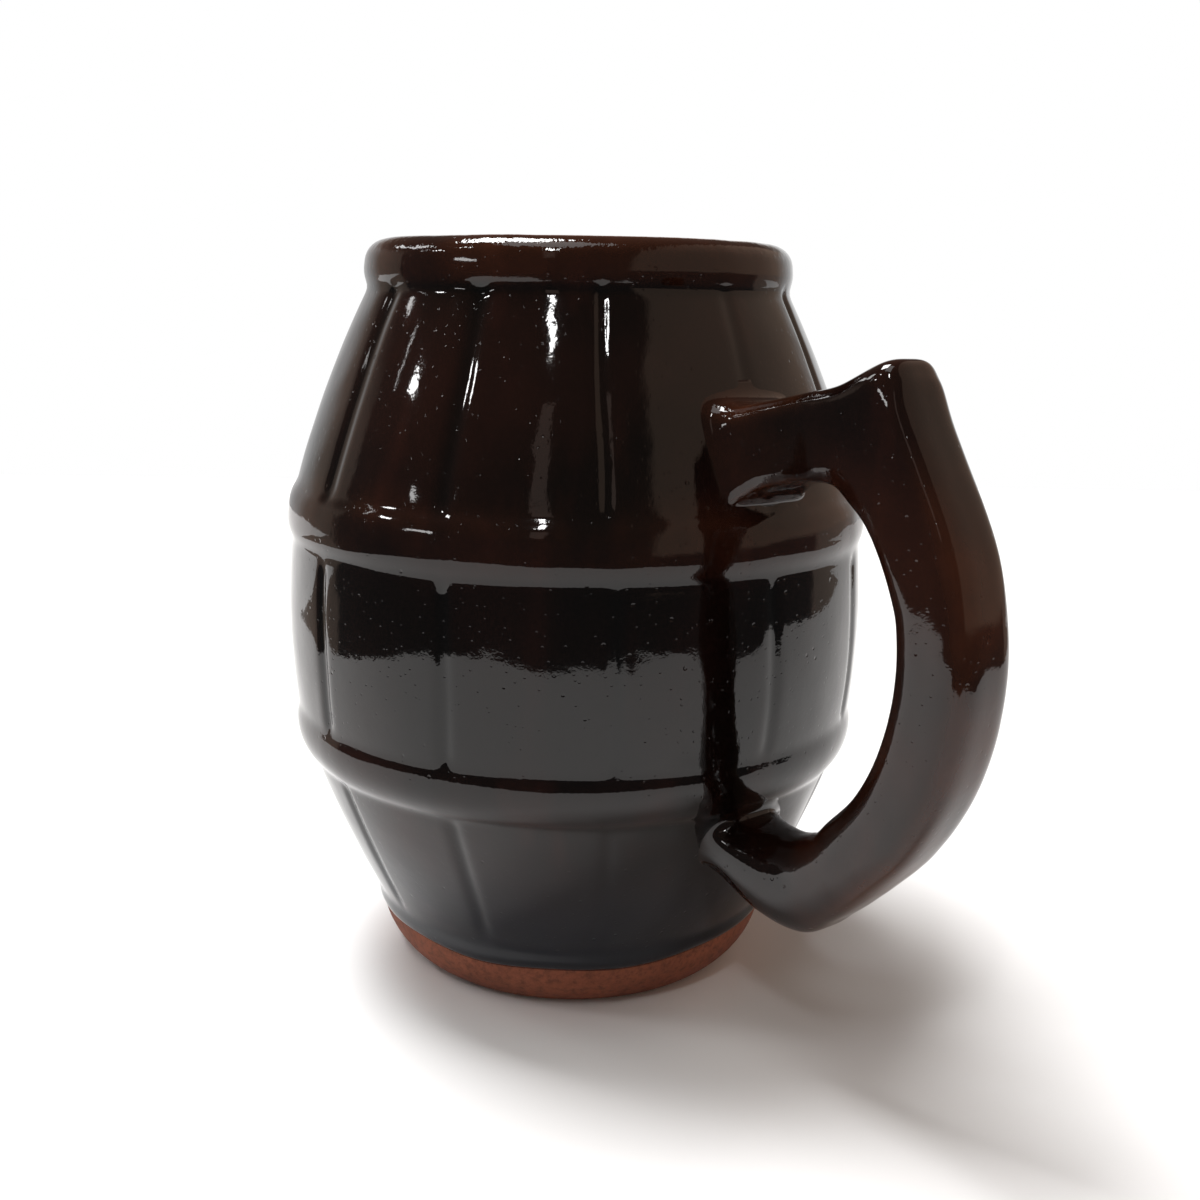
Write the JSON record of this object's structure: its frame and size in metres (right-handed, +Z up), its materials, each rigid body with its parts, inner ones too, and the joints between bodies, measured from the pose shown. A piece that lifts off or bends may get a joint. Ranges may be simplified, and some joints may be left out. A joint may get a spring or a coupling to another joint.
{
  "type": "shaving mug",
  "caption": "Barrel-shaped glazed clay mug with moulded staves, two raised hoops, a banded lip and a bow handle with a thumb horn.",
  "frame": {"origin": "centre of the foot, in the plane that it stands on", "axes": "+Z up through the mouth, +X towards the handle"},
  "size_m": [0.1386, 0.1, 0.1248],
  "materials": {
    "clay": "bare fired red clay, matt",
    "slip": "fired slip, matt",
    "glaze": "glossy dark brown glaze"
  },
  "bodies": {
    "root": {"barrel_body": "clay", "handle": "clay", "upper_slip": "slip", "lower_slip": "slip", "body_glaze": "glaze", "handle_glaze": "glaze"}
  },
  "joints": []
}
